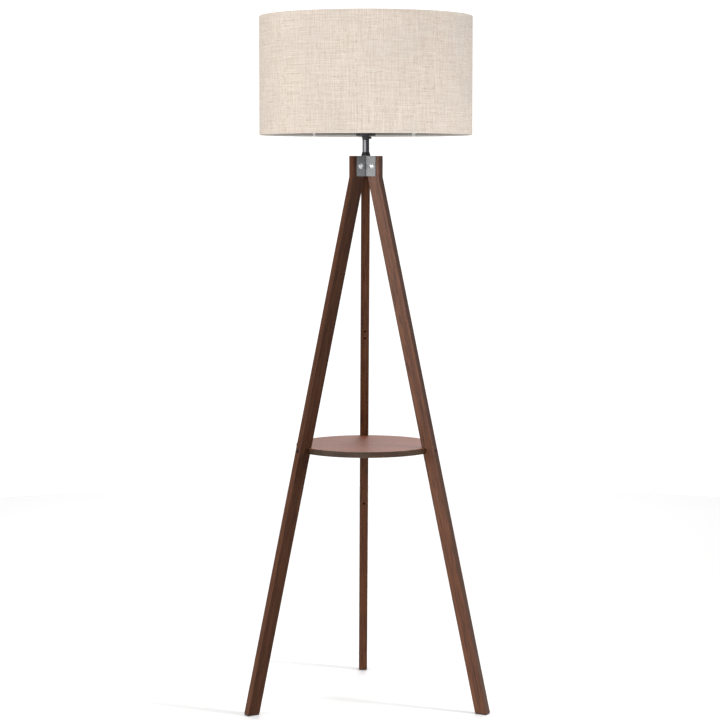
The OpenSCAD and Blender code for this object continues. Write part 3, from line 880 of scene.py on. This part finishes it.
def buildShadeFrame(wire, settings):
    for end in ("top", "bottom"):
        low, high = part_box(f"shade_{end}_ring")
        level = (low.z + high.z) / 2
        addPiece(f"shade{end.title()}Ring", hoop(wire, high.x - wire["radius"], level),
                 [f"shade_{end}_ring"], even=False)
    ringRadius = high.x - wire["radius"]
    low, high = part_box("shade_spider")
    fitterTop, fitterLow = high.z, high.z - settings["fitterDepth"]
    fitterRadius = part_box("retaining_ring")[1].x + settings["fitterMargin"]
    bm = turned([(settings["bore"], fitterLow), (fitterRadius, fitterLow), (fitterRadius, fitterTop),
                 (settings["bore"], fitterTop)], settings["fitterEdge"], 3)
    start = Vector((settings["armStart"], 0, fitterTop - settings["armDrop"]))
    end = Vector((ringRadius - settings["armShort"], 0, level))
    arm = end - start
    pressed = settings["pressedLength"]
    for azimuth in legAzimuth.values():
        turn = Matrix.Rotation(radians(azimuth), 4, "Z")
        aim = arm.to_track_quat("Z", "Y").to_matrix().to_4x4()
        before = set(bm.verts)
        disc = bmesh.ops.create_circle(
            bm, cap_ends=True, segments=settings["sides"], radius=settings["armRadius"],
            matrix=Matrix.Translation(start) @ aim)["verts"]
        disc = disc + list({e for v in disc for e in v.link_edges}) + [disc[0].link_faces[0]]
        # a straight sweep, cut into short lengths
        bmesh.ops.spin(bm, geom=disc, cent=start, axis=(0, 0, 1), angle=0, dvec=arm / settings["lengths"],
                       steps=settings["lengths"])
        rod = [v for v in bm.verts if v not in before]
        for v in rod:
            # pressed flat where the arm is welded to the fitter ring
            near = max(0.0, min(1.0, (fitterRadius + pressed - v.co.x) / pressed))
            flat = min(max(v.co.z, fitterLow), fitterTop)
            v.co.z += (flat - v.co.z) * near
            v.co.y *= 1 + settings["pressedWidening"] * near
        weld = bmesh.ops.create_uvsphere(
            bm, u_segments=settings["weldSides"], v_segments=settings["weldRows"],
            radius=settings["weldRadius"],
            matrix=Matrix.Translation(end) @ Matrix.Diagonal(settings["weldShape"]))["verts"]
        bmesh.ops.transform(bm, matrix=turn, verts=rod + weld)
    bmesh.ops.recalc_face_normals(bm, faces=bm.faces[:])
    addPiece("shadeSpider", bm, ["shade_spider"])


buildShadeFrame(frameWire, spider)

wrap = {
    "riseStart": 1.6,   # in lap widths: where the sheet begins to climb over its own start
    "riseLength": 1.5,
    "wavesRound": 9,    # how closely the cloth's unevenness follows round the shade
    "wavesAlong": 14,   # and up it
}


def wrappedSheet(profile, steps, lap, lift, wobble):
    # profile is (radius, height, outward radius, outward height, distance along the cloth).
    # The sheet starts at the back, goes once round, and laps over its own start.
    bm = bmesh.new()
    index = bm.verts.layers.int.new("index")
    turn = bm.verts.layers.float.new("turn")
    lapAngle = lap / profile[0][0]
    whole = 2 * pi + lapAngle

    def place(v, angle):
        radius, height, outR, outZ, along = profile[v[index]]
        climb = (angle - 2 * pi + wrap["riseStart"] * lapAngle) / (wrap["riseLength"] * lapAngle)
        rise = max(0.0, min(1.0, climb))
        rise = rise * rise * (3 - 2 * rise) * lift
        here = Vector((cos(pi / 2 + angle), sin(pi / 2 + angle), 0))
        spot = here * wrap["wavesRound"] + Vector((0, 0, along * wrap["wavesAlong"]))
        soft = wobble * (0.5 + 0.5 * noise.noise(spot))
        out = rise + soft
        v.co = here * (radius + outR * out) + Vector((0, 0, height + outZ * out))
        v[turn] = angle

    verts = [bm.verts.new() for _ in profile]
    for number, v in enumerate(verts):
        v[index] = number
        place(v, 0.0)
    edges = [bm.edges.new(pair) for pair in zip(verts, verts[1:])]
    for i in range(steps):
        made = bmesh.ops.extrude_edge_only(bm, edges=edges)["geom"]
        edges = [g for g in made if isinstance(g, bmesh.types.BMEdge)]
        for v in made:
            if isinstance(v, bmesh.types.BMVert):
                place(v, whole * (i + 1) / steps)
    bmesh.ops.recalc_face_normals(bm, faces=bm.faces[:])
    weave = bm.loops.layers.uv.new("weave")
    for face in bm.faces:
        for loop in face.loops:
            loop[weave].uv = (loop.vert[turn] * profile[0][0], profile[loop.vert[index]][4])
    return bm


def withDistance(points):
    # adds to (radius, height, outward radius, outward height) the distance along the profile
    along, result = 0.0, []
    for i, point in enumerate(points):
        if i:
            along += hypot(point[0] - points[i - 1][0], point[1] - points[i - 1][1])
        result.append((*point, along))
    return result


lining = {
    "thickness": 0.0005, "lap": 0.010, "steps": 240, "rows": 12,
    "lapLift": 1.1,     # in thicknesses
    "inset": 0.0003,    # from the CAD lining's outer face to the middle of the sheet
    "endGap": 0.0002,
}

cover = {
    "thickness": 0.0007,
    "hem": 0.0055,      # how far the linen is turned in
    "hemStep": 0.0015,  # the turned-in strip has its first row of points here
    "lap": 0.012,       # overlap at the back seam
    "lapLift": 1.15,    # in thicknesses
    "rows": 14,
    "foldPoints": 6,
    "steps": 288,
    "wobble": 0.00012,
}


def foldedEdge(settings, outer, inner, level, up):
    # half a circle of cloth round the lining's edge, from outside to inside
    centre, radius = (outer + inner) / 2, (outer - inner) / 2
    points = []
    for i in range(1, settings["foldPoints"]):
        angle = pi * i / settings["foldPoints"]
        points.append((centre + radius * cos(angle), level + up * radius * sin(angle),
                       cos(angle), up * sin(angle)))
    return points


def buildCover(settings, liningInset):
    low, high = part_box("shade_cover")
    half = settings["thickness"] / 2
    outer = high.x - half - settings["wobble"]
    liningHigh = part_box("shade_lining")[1].x
    inner = 2 * (liningHigh - liningInset) - outer
    fold = (outer - inner) / 2
    top, bottom = high.z - half - fold, low.z + half + fold
    points = [(inner, top - settings["hem"] + fold, -1.0, 0.0),
              (inner, top - settings["hemStep"], -1.0, 0.0), (inner, top, -1.0, 0.0)]
    points += reversed(foldedEdge(settings, outer, inner, top, 1))
    points += [(outer, top + (bottom - top) * i / settings["rows"], 1.0, 0.0)
               for i in range(settings["rows"] + 1)]
    points += foldedEdge(settings, outer, inner, bottom, -1)
    points += [(inner, bottom, -1.0, 0.0), (inner, bottom + settings["hemStep"], -1.0, 0.0),
               (inner, bottom + settings["hem"] - fold, -1.0, 0.0)]
    bm = wrappedSheet(withDistance(points), settings["steps"], settings["lap"],
                      settings["thickness"] * settings["lapLift"], settings["wobble"])
    piece = addPiece("shadeCover", bm, ["shade_cover"], smoothBelow=70, even=False)
    thick = piece.modifiers.new("clothThickness", "SOLIDIFY")
    thick.thickness, thick.offset = settings["thickness"], 0.0


def buildLining(settings):
    low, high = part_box("shade_lining")
    radius, rows = high.x - settings["inset"], settings["rows"]
    top, bottom = high.z - settings["endGap"], low.z + settings["endGap"]
    points = [(radius, top + (bottom - top) * i / rows, -1.0, 0.0) for i in range(rows + 1)]
    bm = wrappedSheet(withDistance(points), settings["steps"], settings["lap"],
                      settings["thickness"] * settings["lapLift"], 0.0)
    piece = addPiece("shadeLining", bm, ["shade_lining"], smoothBelow=70, even=False)
    thick = piece.modifiers.new("sheetThickness", "SOLIDIFY")
    thick.thickness, thick.offset = settings["thickness"], 0.0


buildLining(lining)
buildCover(cover, lining["inset"])
print("shade ready")
